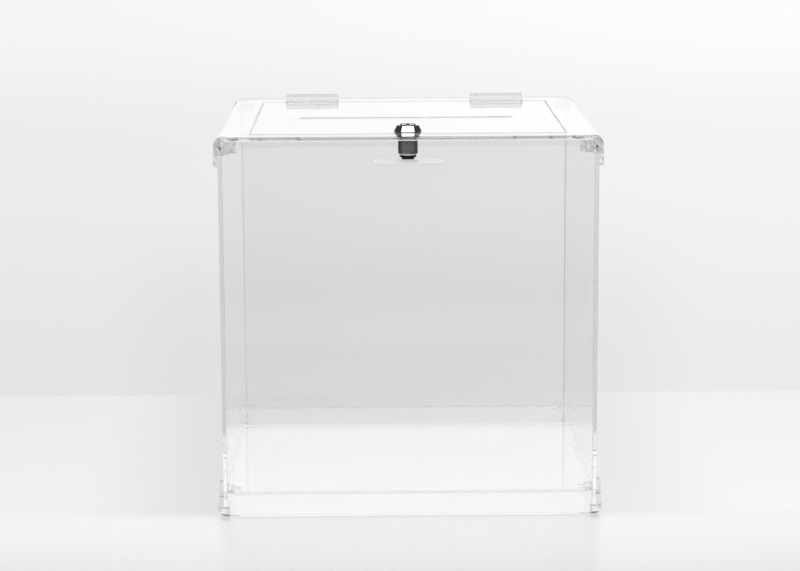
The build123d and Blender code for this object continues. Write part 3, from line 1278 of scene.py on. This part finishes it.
@dataclass(frozen=True)
class Room:
    """The room round the table: a pale backdrop, a bright ceiling and dark sides.

    A rise is a direction's upward part, and each glow step gives two rises and the change
    in brightness between them.
    """

    low_level: float = 232.0
    middle_level: float = 239.0
    high_level: float = 249.0
    top_level: float = 255.0
    low_rise: float = -0.22
    middle_rise: float = -0.125
    high_rise: float = -0.06
    top_rise: float = 0.12
    # A painted shadow low behind the box
    behind_middle: float = 0.01
    behind_width: Span = (0.085, 0.13)
    behind_rise: Span = (-0.19, -0.14)
    behind_share: float = 0.05
    side_change: float = 0.035
    widest: float = 0.18
    dark_share: float = 0.06
    ceiling: Span = (0.45, 0.62)
    backdrop: Span = (0.62, 0.82)
    least_level_part: float = 0.01
    glow_steps: Sequence[Tuple[float, float, float]] = (
        (0.0, 0.11, 1.055),
        (0.13, 0.2, 0.86),
        (0.235, 0.24, 1.16),
    )
    light: float = 0.66

    def build(self) -> bpy.types.World:
        """Makes the world: what is seen of the room, and the light that it gives.

        Returns:
            The world.
        """
        world = bpy.data.worlds.new("pale_room")
        bpy.context.scene.world = world
        world.use_nodes = True
        world.node_tree.nodes.clear()
        wiring = Wiring(world.node_tree)
        right, back, rise = wiring.parts(wiring.node("TexCoord").outputs["Generated"])
        own = wiring.scaled(self.pale(wiring, right, rise), self.level(wiring, right, back, rise))
        seen = wiring.node("Background", {"Color": own})
        lit = wiring.node("Background", {"Color": grey(255.0), "Strength": self.light})
        path = wiring.node("LightPath").outputs
        through = wiring.maths("MAXIMUM", path["Is Glossy Ray"], path["Is Transmission Ray"])
        is_seen = wiring.maths("MAXIMUM", path["Is Camera Ray"], through)
        wiring.node("OutputWorld", {"Surface": wiring.joined(is_seen, lit, seen)})
        return world

    def pale(self, wiring: Wiring, right: Socket, rise: Socket) -> Socket:
        """The backdrop's colour: lighter upwards, with a painted soft shadow low behind the box.

        Args:
            wiring: the world's wiring.
            right: a direction's part to the right.
            rise: its upward part.

        Returns:
            The colour's socket.
        """
        lower = wiring.ease(rise, self.low_rise, self.middle_rise)
        upper = wiring.ease(rise, self.middle_rise, self.high_rise)
        highest = wiring.ease(rise, self.high_rise, self.top_rise)
        pale = wiring.blend(lower, grey(self.low_level), grey(self.middle_level))
        pale = wiring.blend(upper, pale, grey(self.high_level))
        pale = wiring.blend(highest, pale, grey(self.top_level))
        # Painted soft shadow of the box on the backdrop
        off = wiring.maths("ABSOLUTE", wiring.maths("SUBTRACT", right, self.behind_middle))
        narrow = wiring.fade(off, *self.behind_width)
        low = wiring.ease(rise, *self.behind_rise, self.behind_share, 0.0)
        darker = wiring.maths("MULTIPLY", narrow, low)
        return wiring.scaled(pale, wiring.maths("SUBTRACT", 1.0, darker))

    def level(self, wiring: Wiring, right: Socket, back: Socket, rise: Socket) -> Socket:
        """How bright the room is: darker on the left, and at its sides where mirrors show it.

        Args:
            wiring: the world's wiring.
            right: a direction's part to the right.
            back: its part to the back.
            rise: its upward part.

        Returns:
            The brightness's socket.
        """
        across = wiring.ease(
            right, -self.widest, self.widest, 1 - self.side_change, 1 + self.side_change
        )
        squared = wiring.maths("MULTIPLY", rise, rise)
        flat = wiring.maths("SQRT", wiring.maths("SUBTRACT", 1.0, squared))
        flat = wiring.maths("MAXIMUM", flat, self.least_level_part)
        backdrop = wiring.ease(wiring.maths("DIVIDE", back, flat), *self.backdrop)
        bright = wiring.maths("MAXIMUM", backdrop, wiring.ease(rise, *self.ceiling))
        room = wiring.ease(bright, 0.0, 1.0, self.dark_share, 1.0)
        for low, high, change in self.glow_steps:
            room = wiring.maths("MULTIPLY", room, wiring.ease(rise, low, high, 1.0, change))
        choice = {"Factor": wiring.was_mirrored(), "A": 1.0, "B": room}
        chosen = wiring.node("Mix", choice, data_type="FLOAT").outputs[0]
        return wiring.maths("MULTIPLY", across, chosen)


@dataclass(frozen=True)
class Softbox:
    """A flat lamp that points at the box."""

    name: str
    place: Tuple[float, float, float]
    width: float
    height: float
    power: float
    aim: Tuple[float, float, float] = (0.0, 0.0, 0.15)

    def build(self) -> bpy.types.Object:
        """Makes the lamp.

        Returns:
            The lamp.
        """
        data = bpy.data.lights.new(self.name, "AREA")
        data.shape = "RECTANGLE"
        data.size = self.width
        data.size_y = self.height
        data.energy = self.power
        lamp = bpy.data.objects.new(self.name, data)
        bpy.context.scene.collection.objects.link(lamp)
        lamp.location = self.place
        away = Vector(self.aim) - Vector(self.place)
        lamp.rotation_euler = away.to_track_quat("-Z", "Y").to_euler()
        lamp.visible_camera = False
        lamp.visible_transmission = False
        return lamp


@dataclass(frozen=True)
class Viewpoint:
    """The camera, a little left of the box's middle and above its lid. Angles are in degrees."""

    place: Tuple[float, float, float] = (-0.0259, -2.0059, 0.5263)
    turned_right: float = 0.576
    looking_down: float = 10.319
    roll: float = -0.302
    focal_pixels: float = 2381.5
    frame_pixels: float = 800.0
    sensor: float = 36.0
    nearest: float = 0.05
    farthest: float = 50.0

    def build(self) -> bpy.types.Object:
        """Makes the camera and looks through it.

        Returns:
            The camera.
        """
        data = bpy.data.cameras.new("front_camera")
        data.sensor_width = self.sensor
        data.lens = self.focal_pixels / self.frame_pixels * self.sensor
        data.clip_start = self.nearest
        data.clip_end = self.farthest
        camera = bpy.data.objects.new("front_camera", data)
        bpy.context.scene.collection.objects.link(camera)
        camera.matrix_world = Matrix.Translation(self.place) @ self.turn().to_4x4()
        bpy.context.scene.camera = camera
        return camera

    def turn(self) -> Matrix:
        """The camera's axes: its right, its up and what is behind it."""
        turned, down, lean = (
            math.radians(angle) for angle in (self.turned_right, self.looking_down, self.roll)
        )
        level = math.cos(down)
        ahead = Vector((math.sin(turned) * level, math.cos(turned) * level, -math.sin(down)))
        level_right = Vector((math.cos(turned), -math.sin(turned), 0.0))
        level_up = level_right.cross(ahead)
        right = math.cos(lean) * level_right + math.sin(lean) * level_up
        up = -math.sin(lean) * level_right + math.cos(lean) * level_up
        return Matrix((right, up, -ahead)).transposed()


@dataclass
class Studio:
    """The table, the room, the lamps and the camera."""

    lamps: Sequence[Softbox] = (
        Softbox("front_softbox", (0.0, -1.03, 1.15), 1.3, 0.9, 7.0),
        Softbox("overhead_softbox", (0.0, 0.3, 1.6), 1.6, 1.2, 6.0),
    )
    bounces: int = 64

    def build(self) -> None:
        """Sets up all that the box is seen in, with light that can go through many sheets."""
        Table().build()
        Room().build()
        for lamp in self.lamps:
            lamp.build()
        Viewpoint().build()
        scene = bpy.context.scene
        scene.view_settings.view_transform = "Standard"
        scene.cycles.max_bounces = self.bounces
        scene.cycles.transmission_bounces = self.bounces
        scene.cycles.glossy_bounces = self.bounces
        scene.cycles.transparent_max_bounces = self.bounces


def report(pieces: Iterable[bpy.types.Object]) -> None:
    """Logs each piece with its faces and its finishes.

    Args:
        pieces: the dressed pieces.
    """
    for piece in pieces:
        finishes = ", ".join(material.name for material in piece.data.materials)
        log.info("%s: %d faces, %s", piece.name, len(piece.data.polygons), finishes)


def main() -> None:
    """Builds the box's sub-assemblies and the studio in order."""
    logging.basicConfig(level=logging.INFO, format="%(name)s: %(message)s")
    for assembly in (SheetWork(), CornerClips(), LidHinges(), CamLock()):
        report(assembly.build())
    Studio().build()


if __name__ == "__main__":
    main()
